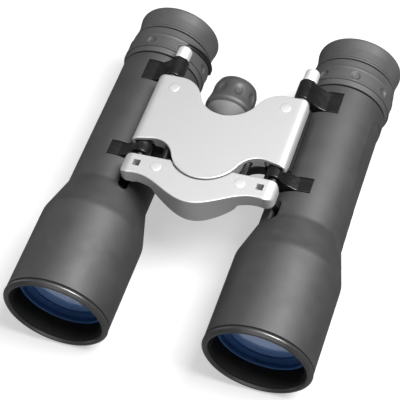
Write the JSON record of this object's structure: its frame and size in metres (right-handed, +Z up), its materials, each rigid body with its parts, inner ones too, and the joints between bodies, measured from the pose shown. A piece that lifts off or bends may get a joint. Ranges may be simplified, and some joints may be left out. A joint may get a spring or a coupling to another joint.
{
  "type": "binoculars",
  "caption": "Compact roof-prism binoculars: rubber barrels hinged on rods at each side of a silver bridge, with a central focus knob and a sliding focus arm.",
  "frame": {"origin": "under the middle of the object, on the plane that the objective rims lie on", "axes": "+Z up through the bridge, +Y along the barrels from the objectives to the eyepieces, +X to the user's left barrel"},
  "size_m": [0.1142, 0.1376, 0.0464],
  "materials": {
    "armour_rubber": "satin, fine moulded grain",
    "eyecup_rubber": "satin",
    "black_plastic": "semi-gloss",
    "tube_plastic": "matte",
    "rim_plastic": "gloss",
    "base_plastic": "satin",
    "silver": "satin",
    "cap_silver": "polished",
    "steel": "ground",
    "brass": "turned",
    "coated_glass": "blue anti-reflection coating",
    "clear_glass": "polished"
  },
  "bodies": {
    "bridge": {"bridge_cover": "silver", "bridge_base": "base_plastic", "focus_bush": "brass", "left_cover_screw": "silver", "left_hinge_rod": "steel", "left_rod_cap": "cap_silver", "left_friction_washer": "steel", "right_cover_screw": "silver", "right_hinge_rod": "steel", "right_rod_cap": "cap_silver", "right_friction_washer": "steel"},
    "left_barrel": {"left_barrel_tube": "tube_plastic", "left_barrel_armour": "armour_rubber", "left_front_bracket": "black_plastic", "left_rear_bracket": "black_plastic", "left_objective_rim": "rim_plastic", "left_prism_cage": "tube_plastic", "left_half_prism": "clear_glass", "left_roof_prism": "clear_glass", "left_grip_ring": "eyecup_rubber", "left_ocular_tube": "tube_plastic", "left_field_lens": "coated_glass", "left_eye_lens": "coated_glass", "left_stop_ring": "black_plastic", "left_eyecup": "eyecup_rubber"},
    "right_barrel": {"right_barrel_tube": "tube_plastic", "right_barrel_armour": "armour_rubber", "right_front_bracket": "black_plastic", "right_rear_bracket": "black_plastic", "right_objective_rim": "rim_plastic", "right_prism_cage": "tube_plastic", "right_half_prism": "clear_glass", "right_roof_prism": "clear_glass"},
    "focus_knob": {"focus_screw": "steel", "knob_core": "black_plastic", "knob_grip": "eyecup_rubber", "knob_cap": "eyecup_rubber"},
    "focus_arm": {"focus_arm": "silver", "focus_nut": "brass", "left_guide_pin": "steel", "left_arm_screw": "silver", "right_guide_pin": "steel", "right_arm_screw": "silver"},
    "left_objective": {"left_objective_cell": "tube_plastic", "left_objective_lens": "coated_glass", "left_focus_link": "black_plastic"},
    "right_objective": {"right_objective_cell": "tube_plastic", "right_objective_lens": "coated_glass", "right_focus_link": "black_plastic"},
    "dioptre_ring": {"right_grip_ring": "eyecup_rubber"},
    "right_ocular": {"right_ocular_tube": "tube_plastic", "right_field_lens": "coated_glass", "right_eye_lens": "coated_glass", "right_stop_ring": "black_plastic", "right_eyecup": "eyecup_rubber"}
  },
  "joints": [
    {"name": "left_hinge", "type": "hinge", "parent": "bridge", "child": "left_barrel", "pos_m": [0.0253, 0, 0.0373], "axis": [0, 1, 0], "range_deg": [-2.8, 45]},
    {"name": "right_hinge", "type": "hinge", "parent": "bridge", "child": "right_barrel", "pos_m": [-0.0253, 0, 0.0373], "axis": [0, -1, 0], "range_deg": [-2.8, 45]},
    {"name": "knob_turn", "type": "hinge", "parent": "bridge", "child": "focus_knob", "pos_m": [0, 0.01655, 0.0373], "axis": [0, 1, 0], "range_deg": [0, 480]},
    {"name": "focus_slide", "type": "slide", "parent": "bridge", "child": "focus_arm", "axis": [0, -1, 0], "range_m": [0, 0.004]},
    {"name": "left_objective_slide", "type": "slide", "parent": "left_barrel", "child": "left_objective", "axis": [0, -1, 0], "range_m": [0, 0.004]},
    {"name": "right_objective_slide", "type": "slide", "parent": "right_barrel", "child": "right_objective", "axis": [0, -1, 0], "range_m": [0, 0.004]},
    {"name": "dioptre_turn", "type": "hinge", "parent": "right_barrel", "child": "dioptre_ring", "pos_m": [-0.03715, 0.04485, 0.02], "axis": [0, 1, 0], "range_deg": [-40, 40]},
    {"name": "ocular_slide", "type": "slide", "parent": "right_barrel", "child": "right_ocular", "axis": [0, 1, 0], "range_m": [-0.0005, 0.0005]}
  ],
  "couplings": [
    {"joint": "left_objective_slide", "follows": "focus_slide", "ratio": 1},
    {"joint": "right_objective_slide", "follows": "focus_slide", "ratio": 1},
    {"joint": "knob_turn", "follows": "focus_slide", "rad_per_m": 2094.4},
    {"joint": "dioptre_turn", "follows": "ocular_slide", "rad_per_m": 1396.3}
  ]
}
